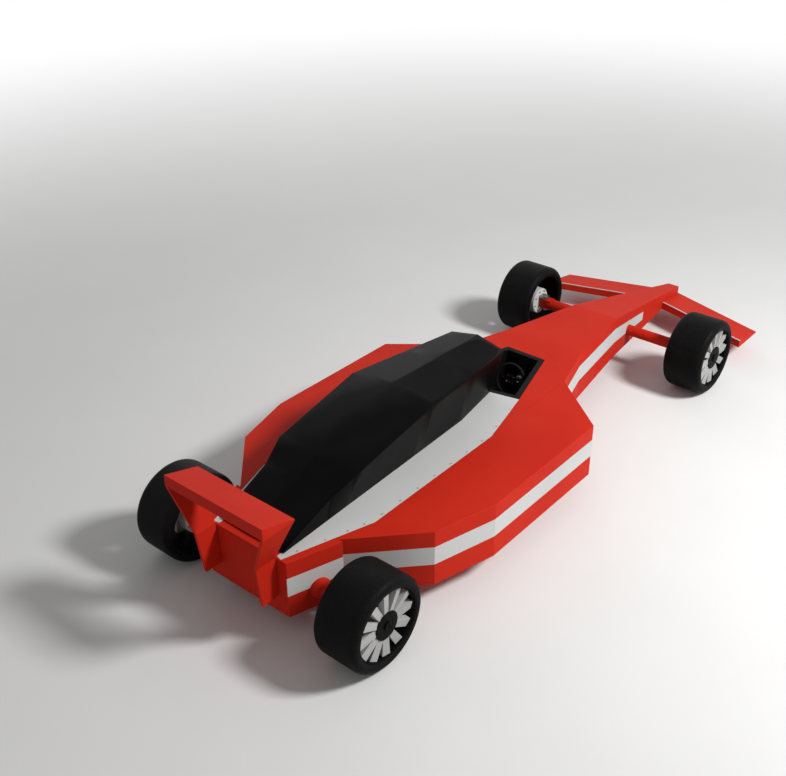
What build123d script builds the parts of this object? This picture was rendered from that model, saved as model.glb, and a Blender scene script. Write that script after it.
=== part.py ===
from build123d import *
import math
import os

# Open wheel racing car, millimetres.
# +X points to the nose, +Y to the driver's left, +Z up. The origin is on the ground, under the
# middle of the car's length, on the centre plane.

# Ground line and the levels that run round the body
FLOOR_Z = 152.0
TRAY_THICK = 20.0
DECK_Z = 512.0
STRIPE_LOW = 293.0
STRIPE_HIGH = 410.0
STRIPE_DEPTH = 4.0
STRIPE_OVERRUN = 90.0
TRAY_TOP = FLOOR_Z + TRAY_THICK

# Body outline seen from above: station along the car, half width
NOSE_TIP_X, NOSE_TIP_HALF = 2513.0, 47.0
NOSE_KNEE_X, NOSE_KNEE_HALF = 1210.0, 183.0
SHOULDER_X, SHOULDER_HALF = 530.0, 290.0
BULKHEAD_X, BULKHEAD_HALF = 420.0, 322.0
WAIST_X, WAIST_HALF = 135.0, 405.0
POD_FRONT_X, POD_HALF = -210.0, 830.0
POD_REAR_X = -1235.0
POD_TAIL_X, POD_TAIL_HALF = -1637.0, 722.0
POD_END_X, POD_END_HALF = -2004.0, 373.0
CASE_FRONT_HALF = 400.0
CASE_REAR_X, CASE_REAR_HALF = -2320.0, 298.0

# Nose heights
NOSE_KNEE_TOP = 472.0
NOSE_TIP_TOP = 215.0

# Survival cell, cockpit and engine bay
CELL_REAR_X = -380.0
BAY_HALF = 330.0
TUB_WALL = 38.0
TUB_FLOOR_Z = 212.0
HOLE_FRONT_X, HOLE_FRONT_HALF = 295.0, 151.0
HOLE_REAR_X, HOLE_REAR_HALF = -241.0, 305.0
COVER_FRONT_X, COVER_FRONT_HALF = -286.0, 110.0
ENGINE_FRONT_X, ENGINE_LENGTH = -700.0, 600.0
ENGINE_WIDTH, ENGINE_TOP_Z = 300.0, 660.0

# White deck panels beside the engine cover
PANEL_THICK = 12.0
PANEL_LIP = 14.0
PANEL_OUTER = [(HOLE_REAR_X, HOLE_REAR_HALF), (-697.0, 416.0), (-1772.0, 421.0),
               (-1979.0, 356.0), (-2312.0, 254.0)]
COVER_KNEE_X, COVER_KNEE_HALF = -671.0, 173.0
COVER_END_X, COVER_END_HALF = -2270.0, 231.0
PANEL_END_X, PANEL_END_HALF = -2302.0, 232.0

# Engine cover sections: station, half width at the deck, half width at the shoulder,
# shoulder height, ridge height
COVER_WALL = 8.0
COVER_SECTIONS = [
    (COVER_FRONT_X, COVER_FRONT_HALF, 202.0, 848.0, 893.0),
    (COVER_KNEE_X, COVER_KNEE_HALF, 248.0, 862.0, 906.0),
    (-1130.0, 190.0, 300.0, 880.0, 916.0),
    (-1760.0, 212.0, 290.0, 752.0, 782.0),
    (-1915.0, 218.0, 248.0, 672.0, 696.0),
    (COVER_END_X, COVER_END_HALF, 233.0, 526.0, 534.0),
]

# Front wing
FW_TIP_HALF = 841.0
FW_TIP_LE_X, FW_TIP_TE_X = 2257.0, 1939.0
FW_ROOT_TE_X = 2164.0
FW_LE_THICK = 5.0
FW_TE_TOP = 210.0
FW_STRIPE_WIDTH = 12.0

# Rear wing and its end plates
RW_HALF = 358.0
RW_REAR_X, RW_FRONT_X = -2513.0, -2293.0
RW_BOTTOM_Z, RW_REAR_TOP, RW_FRONT_TOP = 805.0, 875.0, 811.0
PLATE_THICK = 18.0
# End plate sections: height, outer face from the centre plane, rear edge, front edge
PLATE_SECTIONS = [
    (RW_BOTTOM_Z, RW_HALF, RW_REAR_X, RW_FRONT_X),
    (527.0, 233.0, -2465.0, -2330.0),
    (260.0, 225.0, -2432.0, CASE_REAR_X),
]

# Wheels: name, station, half track, side (+1 left, -1 right)
TYRE_R, TYRE_W, SHOULDER_R, LIP_R = 275.0, 285.0, 40.0, 15.0
FRONT_AXLE_X, FRONT_TRACK_HALF = 1457.0, 725.0
REAR_AXLE_X, REAR_TRACK_HALF = -2143.0, 690.0
WHEELS = [
    ("front_right", FRONT_AXLE_X, FRONT_TRACK_HALF, -1),
    ("front_left", FRONT_AXLE_X, FRONT_TRACK_HALF, 1),
    ("rear_right", REAR_AXLE_X, REAR_TRACK_HALF, -1),
    ("rear_left", REAR_AXLE_X, REAR_TRACK_HALF, 1),
]
RIM_R, RIM_WALL = 210.0, 10.0
BEAD_GAP = 0.3
RIM_SETBACK = 19.0
DISC_R, DISC_THICK, DISC_SETBACK = 83.0, 14.0, 13.0
# Wheel blades: number, depth along the axle, widths at hub and rim, lean of the outer face
SPOKES, SPOKE_DEPTH = 12, 26.0
SPOKE_ROOT_W, SPOKE_TIP_W, SPOKE_TWIST = 46.0, 60.0, 8.0
SPOKE_ROOT_IN = 10.0
HUB_INSET, HUB_LENGTH = 3.0, 70.0

# Axles, hub drums and steering knuckles
AXLE_R = 40.0
DRUM_R, DRUM_LENGTH, DRUM_EDGE = 100.0, 74.0, 6.0
DRUM_INSET = 42.0
SPINDLE_R, BEARING_CLEAR = 22.0, 0.05
KINGPIN_INSET = 42.0
KINGPIN_R, EYE_R, EYE_HEIGHT = 12.0, 34.0, 70.0
EAR_THICK, EAR_GAP = 14.0, 6.0
AXLE_TO_PIN = 38.0
EAR_R = 30.0
BOSS_R = 60.0
SPINDLE_SHORT = 2.0

# Seat, footwell and steering wheel
SEAT_FRONT_X, SEAT_REAR_X, SEAT_HALF = 40.0, -225.0, 150.0
SQUAB_FRONT_H, SQUAB_REAR_H, BACK_H, BACK_TOP_T, BACK_FOOT_T = 65.0, 40.0, 190.0, 30.0, 90.0
LEG_END_X, LEG_END_HALF, LEG_HALF = 1150.0, 120.0, 113.0
LEG_TOP_Z, LEG_END_TOP_Z = 455.0, 400.0
POST_W = 60.0
WHEEL_RIM_R, WHEEL_GRIP_R = 105.0, 11.0
STEER_HUB_R, STEER_HUB_THICK, STEER_SPOKE_W = 38.0, 12.0, 34.0
COLUMN_R, COLUMN_LENGTH, COLUMN_TILT = 14.0, 170.0, 20.0
COLLAR_R, COLLAR_LENGTH = 22.0, 60.0
RUN_GAP = 0.3
STEER_X, STEER_Z = 118.0, 385.0


def full_plan(rows):
    """Closed outline from rows of station and half width, mirrored over the centre plane."""
    return [(x, w) for x, w in rows] + [(x, -w) for x, w in reversed(rows)]


def beyond(a, b, reach):
    """Point on the line from a through b, further on by reach."""
    step = math.dist(a, b)
    return (b[0] + (b[0] - a[0]) * reach / step, b[1] + (b[1] - a[1]) * reach / step)


def save(piece, label):
    piece.label = label
    export_step(piece, f"parts/{label}.step")


os.makedirs("parts", exist_ok=True)

NOSE_ROWS = [(NOSE_TIP_X, NOSE_TIP_HALF), (NOSE_KNEE_X, NOSE_KNEE_HALF),
             (SHOULDER_X, SHOULDER_HALF), (BULKHEAD_X, BULKHEAD_HALF)]
CELL_ROWS = [(BULKHEAD_X, BULKHEAD_HALF), (WAIST_X, WAIST_HALF), (CELL_REAR_X, WAIST_HALF)]
POD_ROWS = [(WAIST_X, WAIST_HALF), (POD_FRONT_X, POD_HALF), (POD_REAR_X, POD_HALF),
            (POD_TAIL_X, POD_TAIL_HALF), (POD_END_X, POD_END_HALF)]
CASE_ROWS = [(POD_END_X, CASE_FRONT_HALF), (CASE_REAR_X, CASE_REAR_HALF)]
HOLE_ROWS = [(HOLE_FRONT_X, HOLE_FRONT_HALF), (HOLE_REAR_X, HOLE_REAR_HALF),
             (COVER_FRONT_X, COVER_FRONT_HALF)]

# White panels let into the deck, one each side of the engine cover
PANEL_INNER = [(COVER_FRONT_X, COVER_FRONT_HALF - PANEL_LIP),
               (COVER_KNEE_X, COVER_KNEE_HALF - PANEL_LIP),
               (PANEL_END_X, PANEL_END_HALF - PANEL_LIP)]
with BuildPart() as deck_panels:
    with BuildSketch(Plane.XY.offset(DECK_Z - PANEL_THICK)):
        Polygon(*PANEL_OUTER, *reversed(PANEL_INNER), align=None)
    extrude(amount=PANEL_THICK)
    mirror(about=Plane.XZ)
save(deck_panels.part, "deck_panels")

# Flat undertray below the cell and the side pods
with BuildPart() as undertray:
    with BuildSketch(Plane.XY.offset(FLOOR_Z)):
        Polygon(*full_plan([NOSE_ROWS[-1]] + POD_ROWS), align=None)
    extrude(amount=TRAY_THICK)
save(undertray.part, "undertray")


def stripe_ring(rows, low, high):
    """Skin of the body between two levels, as deep as a stripe."""
    with BuildPart() as ring:
        with BuildSketch(Plane.XY.offset(low)):
            Polygon(*full_plan(rows), align=None)
            offset(amount=-STRIPE_DEPTH, kind=Kind.INTERSECTION, mode=Mode.SUBTRACT)
        extrude(amount=high - low)
    return ring.part


# Side pods, with the stripe panels let into their flanks
POD_RING_ROWS = ([beyond(POD_ROWS[1], POD_ROWS[0], STRIPE_OVERRUN)] + POD_ROWS[1:-1]
                 + [beyond(POD_ROWS[-2], POD_ROWS[-1], STRIPE_OVERRUN)])
pod_ring = stripe_ring(POD_RING_ROWS, STRIPE_LOW, STRIPE_HIGH)
for side, hand in ((1, "left"), (-1, "right")):
    with BuildPart() as pod_blank:
        with BuildSketch(Plane.XY.offset(TRAY_TOP)):
            inner = [(POD_END_X, BAY_HALF), (CELL_REAR_X, BAY_HALF), (CELL_REAR_X, WAIST_HALF)]
            Polygon(*[(x, side * y) for x, y in POD_ROWS + inner], align=None)
        extrude(amount=DECK_Z - TRAY_TOP)
        add(deck_panels.part, mode=Mode.SUBTRACT)
    with BuildPart() as pod_stripe:
        add(pod_blank.part)
        add(pod_ring, mode=Mode.INTERSECT)
    with BuildPart() as sidepod:
        add(pod_blank.part)
        add(pod_stripe.part, mode=Mode.SUBTRACT)
    save(sidepod.part, f"sidepod_{hand}")
    save(pod_stripe.part, f"sidepod_stripe_{hand}")

# Stripe along the nose and the front of the cell: station, lower edge, upper edge
NOSE_STRIPE = [(WAIST_X, STRIPE_LOW, STRIPE_HIGH), (SHOULDER_X, STRIPE_LOW, STRIPE_HIGH),
               (NOSE_KNEE_X, 276.0, 388.0), (1742.0, 236.0, 304.0)]
NOSE_RING_ROWS = [beyond(NOSE_ROWS[1], NOSE_ROWS[0], STRIPE_OVERRUN)] + NOSE_ROWS[1:] + [(WAIST_X, WAIST_HALF)]

with BuildPart() as nose_stripes:
    with BuildSketch(Plane.XZ):
        Polygon(*[(x, low) for x, low, high in NOSE_STRIPE],
                *[(x, high) for x, low, high in reversed(NOSE_STRIPE)], align=None)
    extrude(amount=POD_HALF, both=True)
    add(stripe_ring(NOSE_RING_ROWS, FLOOR_Z, DECK_Z), mode=Mode.INTERSECT)
    with BuildSketch(Plane.XY.offset(FLOOR_Z)):
        Polygon(*full_plan([(x, w - 2 * STRIPE_DEPTH) for x, w in NOSE_RING_ROWS]), align=None)
    extrude(amount=DECK_Z, mode=Mode.SUBTRACT)
save(nose_stripes.part, "nose_stripes")

# Footwell: the driver's leg space, from inside the cockpit into the nose
with BuildPart() as footwell:
    with BuildSketch(Plane.XY.offset(TUB_FLOOR_Z + TUB_WALL)):
        Polygon(*full_plan([(HOLE_FRONT_X - 2 * TUB_WALL, LEG_HALF), (LEG_END_X, LEG_END_HALF)]),
                align=None)
    extrude(amount=DECK_Z - TUB_FLOOR_Z)
    with BuildSketch(Plane.XZ):
        Polygon((HOLE_FRONT_X - 2 * TUB_WALL, FLOOR_Z), (HOLE_FRONT_X - 2 * TUB_WALL, LEG_TOP_Z),
                (BULKHEAD_X, LEG_TOP_Z), (LEG_END_X, LEG_END_TOP_Z), (LEG_END_X, FLOOR_Z), align=None)
    extrude(amount=POD_HALF, both=True, mode=Mode.INTERSECT)

# Nose cone
with BuildPart() as nose_cone:
    with BuildSketch(Plane.XY.offset(FLOOR_Z)):
        Polygon(*full_plan(NOSE_ROWS), align=None)
    extrude(amount=DECK_Z - FLOOR_Z)
    with BuildSketch(Plane.XZ):
        Polygon((BULKHEAD_X, FLOOR_Z), (BULKHEAD_X, DECK_Z), (SHOULDER_X, DECK_Z),
                (NOSE_KNEE_X, NOSE_KNEE_TOP), (NOSE_TIP_X, NOSE_TIP_TOP), (NOSE_TIP_X, FLOOR_Z),
                align=None)
    extrude(amount=WAIST_HALF, both=True, mode=Mode.INTERSECT)
    add(nose_stripes.part, mode=Mode.SUBTRACT)
    add(footwell.part, mode=Mode.SUBTRACT)
save(nose_cone.part, "nose_cone")

# Survival cell with the cockpit cut out of it
with BuildPart() as survival_cell:
    with BuildSketch(Plane.XY.offset(TRAY_TOP)):
        Polygon(*full_plan(CELL_ROWS), align=None)
    extrude(amount=DECK_Z - TRAY_TOP)
    with BuildSketch(Plane.XY.offset(TUB_FLOOR_Z)):
        Polygon(*full_plan(HOLE_ROWS), align=None)
    extrude(amount=DECK_Z - TUB_FLOOR_Z, mode=Mode.SUBTRACT)
    add(deck_panels.part, mode=Mode.SUBTRACT)
    add(nose_stripes.part, mode=Mode.SUBTRACT)
    add(footwell.part, mode=Mode.SUBTRACT)
save(survival_cell.part, "survival_cell")

# Black cockpit tub, with a level rim as wide as its wall
with BuildPart() as cockpit_tub:
    with BuildSketch(Plane.XY.offset(TUB_FLOOR_Z)):
        Polygon(*full_plan(HOLE_ROWS), align=None)
    extrude(amount=DECK_Z - TUB_FLOOR_Z)
    with BuildSketch(Plane.XY.offset(TUB_FLOOR_Z + TUB_WALL)):
        Polygon(*full_plan(HOLE_ROWS), align=None)
        offset(amount=-TUB_WALL, kind=Kind.INTERSECTION, mode=Mode.REPLACE)
    extrude(amount=DECK_Z - TUB_FLOOR_Z, mode=Mode.SUBTRACT)
    add(deck_panels.part, mode=Mode.SUBTRACT)
    add(footwell.part, mode=Mode.SUBTRACT)
    with BuildSketch(Plane.XY.offset(TUB_FLOOR_Z + TUB_WALL)):
        with Locations((HOLE_FRONT_X - TUB_WALL / 2, 0)):
            Rectangle(TUB_WALL, POST_W)
    extrude(amount=LEG_TOP_Z - TUB_FLOOR_Z - TUB_WALL)
save(cockpit_tub.part, "cockpit_tub")

# Seat shell: a squab and a raked back, seen from the side
SEAT_FLOOR = TUB_FLOOR_Z + TUB_WALL
with BuildPart() as seat:
    with BuildSketch(Plane.XZ):
        Polygon((SEAT_FRONT_X, SEAT_FLOOR), (SEAT_REAR_X, SEAT_FLOOR),
                (SEAT_REAR_X, SEAT_FLOOR + BACK_H),
                (SEAT_REAR_X + BACK_TOP_T, SEAT_FLOOR + BACK_H),
                (SEAT_REAR_X + BACK_FOOT_T, SEAT_FLOOR + SQUAB_REAR_H),
                (SEAT_FRONT_X, SEAT_FLOOR + SQUAB_FRONT_H), align=None)
    extrude(amount=SEAT_HALF, both=True)
save(seat.part, "seat")

# Steering column and wheel on a tilted axis that points up and back at the driver
tilt = math.radians(COLUMN_TILT)
steer_axis = (-math.cos(tilt), 0.0, math.sin(tilt))
steer_plane = Plane(origin=(STEER_X, 0, STEER_Z), x_dir=(0, 1, 0), z_dir=steer_axis)
with BuildPart() as steering_column:
    with BuildSketch(steer_plane.offset(-STEER_HUB_THICK / 2 - RUN_GAP)):
        Circle(COLUMN_R)
    extrude(amount=-COLUMN_LENGTH)
    with BuildSketch(steer_plane.offset(-COLUMN_LENGTH + COLLAR_LENGTH)):
        Circle(COLLAR_R)
    extrude(amount=-COLUMN_LENGTH)
    split(bisect_by=Plane.YZ.offset(HOLE_FRONT_X - TUB_WALL), keep=Keep.BOTTOM)
save(steering_column.part, "steering_column")

with BuildPart() as steering_wheel:
    with BuildSketch(Plane(origin=steer_plane.origin, x_dir=(0, 1, 0),
                           z_dir=steer_plane.x_dir.cross(steer_plane.z_dir))):
        with Locations((WHEEL_RIM_R, 0)):
            Circle(WHEEL_GRIP_R)
    revolve(axis=Axis(steer_plane.origin, steer_plane.z_dir))
    with BuildSketch(steer_plane.offset(-STEER_HUB_THICK / 2)):
        Rectangle(2 * WHEEL_RIM_R - WHEEL_GRIP_R, STEER_SPOKE_W)
        Circle(STEER_HUB_R)
    extrude(amount=STEER_HUB_THICK)
save(steering_wheel.part, "steering_wheel")

# Engine, one plain block between the side pods
with BuildPart() as engine_block:
    with BuildSketch(Plane.XY.offset(TRAY_TOP)):
        with Locations((ENGINE_FRONT_X - ENGINE_LENGTH / 2, 0)):
            Rectangle(ENGINE_LENGTH, ENGINE_WIDTH)
    extrude(amount=ENGINE_TOP_Z - TRAY_TOP)
save(engine_block.part, "engine_block")


def cover_form(inset):
    """Engine cover's faceted form, smaller all round by inset."""
    first, last = COVER_SECTIONS[0][0], COVER_SECTIONS[-1][0]
    with BuildPart() as form:
        for x, base, shoulder, shoulder_z, ridge_z in COVER_SECTIONS:
            station = x - inset if x == first else x + inset if x == last else x
            b, s = base - inset, shoulder - inset
            with BuildSketch(Plane.YZ.offset(station)):
                Polygon((-b, DECK_Z), (b, DECK_Z), (s, shoulder_z - inset), (0, ridge_z - inset),
                        (-s, shoulder_z - inset), align=None)
        loft(ruled=True)
    return form.part


with BuildPart() as engine_cover:
    add(cover_form(0))
    add(cover_form(COVER_WALL), mode=Mode.SUBTRACT)
save(engine_cover.part, "engine_cover")

# Gearbox case behind the bay, with its stripe
with BuildPart() as case_blank:
    with BuildSketch(Plane.XY.offset(FLOOR_Z)):
        Polygon(*full_plan(CASE_ROWS), align=None)
    extrude(amount=DECK_Z - FLOOR_Z)
    add(deck_panels.part, mode=Mode.SUBTRACT)
CASE_RING_ROWS = [beyond(CASE_ROWS[1], CASE_ROWS[0], STRIPE_OVERRUN), beyond(CASE_ROWS[0], CASE_ROWS[1], STRIPE_OVERRUN)]
with BuildPart() as gearbox_stripes:
    add(case_blank.part)
    add(stripe_ring(CASE_RING_ROWS, STRIPE_LOW, STRIPE_HIGH), mode=Mode.INTERSECT)
with BuildPart() as gearbox_case:
    add(case_blank.part)
    add(gearbox_stripes.part, mode=Mode.SUBTRACT)
save(gearbox_stripes.part, "gearbox_stripes")
save(gearbox_case.part, "gearbox_case")

# Front wing: a wedge each side, sharp in front and thick behind
FW_BASE = FLOOR_Z + FW_LE_THICK
root_te_half = NOSE_TIP_HALF + (NOSE_KNEE_HALF - NOSE_TIP_HALF) * (
    NOSE_TIP_X - FW_ROOT_TE_X) / (NOSE_TIP_X - NOSE_KNEE_X)
le_root = Vector(NOSE_TIP_X, NOSE_TIP_HALF, FW_BASE)
le_tip = Vector(FW_TIP_LE_X, FW_TIP_HALF, FW_BASE)
te_tip = Vector(FW_TIP_TE_X, FW_TIP_HALF, FW_TE_TOP)
te_root = Vector(FW_ROOT_TE_X, root_te_half, FW_TE_TOP)
wing_top = Plane(origin=le_tip, x_dir=le_root - le_tip, z_dir=(le_root - le_tip).cross(te_tip - le_tip))


def wing_blank(points, top):
    """Wing slab from a plan outline, cut off by the plane of its upper surface."""
    with BuildPart() as blank:
        with BuildSketch(Plane.XY.offset(FLOOR_Z)):
            Polygon(*points, align=None)
        extrude(amount=2 * FW_TE_TOP)
        split(bisect_by=top, keep=Keep.BOTTOM if top.z_dir.Z > 0 else Keep.TOP)
    return blank.part


te_line = (te_root - te_tip).normalized()
stripe_shift = Vector(te_line.Y, -te_line.X, 0).normalized() * FW_STRIPE_WIDTH
if stripe_shift.X < 0:
    stripe_shift = stripe_shift * -1
plan = [(p.X, p.Y) for p in (le_root, le_tip, te_tip, te_root)]
strip = [(p.X, p.Y) for p in (te_root, te_tip, te_tip + stripe_shift, te_root + stripe_shift)]
with BuildPart() as front_wing_stripes:
    add(wing_blank(plan, wing_top))
    add(wing_blank(strip, wing_top), mode=Mode.INTERSECT)
    add(wing_blank(plan, wing_top.offset(-STRIPE_DEPTH if wing_top.z_dir.Z > 0 else STRIPE_DEPTH)),
        mode=Mode.SUBTRACT)
    mirror(about=Plane.XZ)
with BuildPart() as front_wing:
    add(wing_blank(plan, wing_top))
    mirror(about=Plane.XZ)
    add(front_wing_stripes.part, mode=Mode.SUBTRACT)
save(front_wing_stripes.part, "front_wing_stripes")
save(front_wing.part, "front_wing")

# Rear wing: a wedge across the tail
with BuildPart() as rear_wing:
    with BuildSketch(Plane.XZ):
        Polygon((RW_REAR_X, RW_BOTTOM_Z), (RW_REAR_X, RW_REAR_TOP), (RW_FRONT_X, RW_FRONT_TOP),
                (RW_FRONT_X, RW_BOTTOM_Z), align=None)
    extrude(amount=RW_HALF, both=True)
save(rear_wing.part, "rear_wing")

# End plates: waisted plates that lean in and stand against the gearbox case
with BuildPart() as rear_endplates:
    for z, outer, rear_x, front_x in PLATE_SECTIONS:
        with BuildSketch(Plane.XY.offset(z)):
            Polygon((rear_x, outer), (front_x, outer), (front_x, outer - PLATE_THICK),
                    (rear_x, outer - PLATE_THICK), align=None)
    loft(ruled=True)
    mirror(about=Plane.XZ)
save(rear_endplates.part, "rear_endplates")

# Front axle tubes from the nose to the kingpin eyes
pin_half = FRONT_TRACK_HALF - TYRE_W / 2 + DRUM_INSET - KINGPIN_INSET
eye_low = TYRE_R - EYE_HEIGHT / 2
with BuildPart() as front_axles:
    with BuildSketch(Plane.XZ.offset(-pin_half + AXLE_TO_PIN)):
        with Locations((FRONT_AXLE_X, TYRE_R)):
            Circle(AXLE_R)
    extrude(amount=pin_half - AXLE_TO_PIN)
    with BuildSketch(Plane.XY.offset(eye_low)):
        with Locations((FRONT_AXLE_X, pin_half)):
            Circle(EYE_R)
        with Locations((FRONT_AXLE_X, pin_half - EYE_R)):
            Rectangle(2 * EYE_R, 2 * EYE_R)
    extrude(amount=EYE_HEIGHT)
    with BuildSketch(Plane.XY):
        with Locations((FRONT_AXLE_X, pin_half)):
            Circle(KINGPIN_R + BEARING_CLEAR)
    extrude(amount=2 * TYRE_R, mode=Mode.SUBTRACT)
    mirror(about=Plane.XZ)
    add(nose_cone.part, mode=Mode.SUBTRACT)
    add(nose_stripes.part, mode=Mode.SUBTRACT)
    with BuildSketch(Plane.XY):
        Polygon(*full_plan([(x, w - STRIPE_DEPTH) for x, w in NOSE_ROWS]), align=None)
    extrude(amount=DECK_Z, mode=Mode.SUBTRACT)
save(front_axles.part, "front_axles")

# Rear axle tubes with a round boss at the gearbox case
case_half_at_axle = CASE_REAR_HALF + (CASE_FRONT_HALF - CASE_REAR_HALF) * (
    REAR_AXLE_X - CASE_REAR_X) / (POD_END_X - CASE_REAR_X)
with BuildPart() as rear_axles:
    drum_face = REAR_TRACK_HALF - TYRE_W / 2 + DRUM_INSET
    with BuildSketch(Plane.XZ.offset(-drum_face)):
        with Locations((REAR_AXLE_X, TYRE_R)):
            Circle(AXLE_R)
    extrude(amount=drum_face)
    with Locations((REAR_AXLE_X, case_half_at_axle, TYRE_R)):
        Sphere(BOSS_R)
    mirror(about=Plane.XZ)
    add(case_blank.part, mode=Mode.SUBTRACT)
save(rear_axles.part, "rear_axles")


def wheel_plane(station, half_track, side):
    """Plane at the wheel's centre whose normal points outward along the axle."""
    return Plane(origin=(station, side * half_track, TYRE_R), x_dir=(1, 0, 0), z_dir=(0, side, 0))


# Wheel pieces, drawn about the Z axis with +Z outward
with BuildPart() as tyre:
    with BuildSketch(Plane.XZ) as tyre_section:
        with Locations(((TYRE_R + RIM_R + BEAD_GAP) / 2, 0)):
            Rectangle(TYRE_R - RIM_R - BEAD_GAP, TYRE_W)
        fillet(tyre_section.vertices().group_by(Axis.X)[-1], radius=SHOULDER_R)
        fillet(tyre_section.vertices().group_by(Axis.X)[0], radius=LIP_R)
    revolve(axis=Axis.Z)

RIM_FACE = TYRE_W / 2 - RIM_SETBACK
with BuildPart() as rim:
    with BuildSketch(Plane.XZ):
        with Locations((RIM_R - RIM_WALL / 2, 0)):
            Rectangle(RIM_WALL, 2 * RIM_FACE)
    revolve(axis=Axis.Z)

SPOKE_Z = RIM_FACE - DISC_SETBACK
with BuildPart() as spokes:
    with BuildSketch(Plane.XY.offset(SPOKE_Z + SPOKE_DEPTH / 2)):
        Circle(DISC_R - HUB_INSET)
        Circle(SPINDLE_R + BEARING_CLEAR, mode=Mode.SUBTRACT)
    extrude(amount=-HUB_LENGTH)
    for k in range(SPOKES):
        turn = math.radians(360 / SPOKES * k)
        radial = Vector(math.cos(turn), math.sin(turn), 0)
        around = Vector(-math.sin(turn), math.cos(turn), 0)
        for reach, width in ((DISC_R - SPOKE_ROOT_IN, SPOKE_ROOT_W), (RIM_R, SPOKE_TIP_W)):
            with BuildSketch(Plane(origin=radial * reach + Vector(0, 0, SPOKE_Z),
                                   x_dir=around, z_dir=radial)):
                Rectangle(width, SPOKE_DEPTH - HUB_INSET, rotation=SPOKE_TWIST)
        loft()
    with BuildSketch(Plane.XY):
        Circle(RIM_R - RIM_WALL - BEAD_GAP)
    extrude(amount=TYRE_W, both=True, mode=Mode.INTERSECT)
    with BuildSketch(Plane.XY.offset(SPOKE_Z + SPOKE_DEPTH / 2)):
        Circle(DISC_R)
    extrude(amount=DISC_THICK, mode=Mode.SUBTRACT)

with BuildPart() as hub_disc:
    with BuildSketch(Plane.XY.offset(SPOKE_Z + SPOKE_DEPTH / 2)):
        Circle(DISC_R)
    extrude(amount=DISC_THICK)

for name, station, half_track, side in WHEELS:
    place = wheel_plane(station, half_track, side).location
    for label, piece in (("tyre", tyre), ("rim", rim), ("spokes", spokes), ("hub_disc", hub_disc)):
        save(place * piece.part, f"{label}_{name}")

# Hub drums: the front ones steer with their knuckles, the rear ones are fixed to the axle
drum_inner = -(TYRE_W / 2 - DRUM_INSET)
spindle_end = SPOKE_Z + SPOKE_DEPTH / 2 - SPINDLE_SHORT
with BuildPart() as drum:
    with BuildSketch(Plane.XY.offset(drum_inner)):
        Circle(DRUM_R)
    extrude(amount=DRUM_LENGTH)
    chamfer(drum.edges().filter_by(GeomType.CIRCLE), length=DRUM_EDGE)
    with BuildSketch(Plane.XY.offset(drum_inner)):
        Circle(SPINDLE_R)
    extrude(amount=spindle_end - drum_inner)
for name, station, half_track, side in WHEELS:
    place = wheel_plane(station, half_track, side).location
    save(place * drum.part, f"drum_{name}")

# Knuckles: a fork that takes the axle eye, with the kingpin through it
for name, station, half_track, side in WHEELS[:2]:
    pin_y = side * pin_half
    face_y = side * (half_track - TYRE_W / 2 + DRUM_INSET)
    with BuildPart() as knuckle:
        for low in (eye_low - EAR_GAP - EAR_THICK, eye_low + EYE_HEIGHT + EAR_GAP):
            with BuildSketch(Plane.XY.offset(low)):
                with Locations((station, pin_y)):
                    Circle(EAR_R)
                with Locations((station, (pin_y + face_y) / 2)):
                    Rectangle(2 * EAR_R, abs(face_y - pin_y))
            extrude(amount=EAR_THICK)
        with BuildSketch(Plane.XY.offset(eye_low - EAR_GAP - EAR_THICK)):
            with Locations((station, pin_y)):
                Circle(KINGPIN_R)
        extrude(amount=EYE_HEIGHT + 2 * (EAR_GAP + EAR_THICK))
    save(knuckle.part, f"knuckle_{name}")
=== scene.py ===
import bpy
import bmesh
import math
from mathutils import Matrix, Vector
from mathutils.bvhtree import BVHTree


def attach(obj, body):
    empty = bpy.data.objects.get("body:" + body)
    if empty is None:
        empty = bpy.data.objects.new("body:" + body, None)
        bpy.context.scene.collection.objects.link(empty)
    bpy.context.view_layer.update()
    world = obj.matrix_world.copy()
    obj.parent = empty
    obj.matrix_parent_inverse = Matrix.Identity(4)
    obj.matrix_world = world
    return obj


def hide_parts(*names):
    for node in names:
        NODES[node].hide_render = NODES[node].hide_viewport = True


# Open wheel racing car, metres, +X to the nose, +Y to the driver's left, +Z up
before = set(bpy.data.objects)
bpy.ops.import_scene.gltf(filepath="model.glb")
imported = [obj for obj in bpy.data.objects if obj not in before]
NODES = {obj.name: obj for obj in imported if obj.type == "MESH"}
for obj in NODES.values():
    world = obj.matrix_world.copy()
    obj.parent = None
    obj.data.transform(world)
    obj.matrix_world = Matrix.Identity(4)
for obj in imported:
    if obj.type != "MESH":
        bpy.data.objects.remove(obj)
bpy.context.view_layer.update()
MM = 0.001
SCENE = bpy.context.scene


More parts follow.
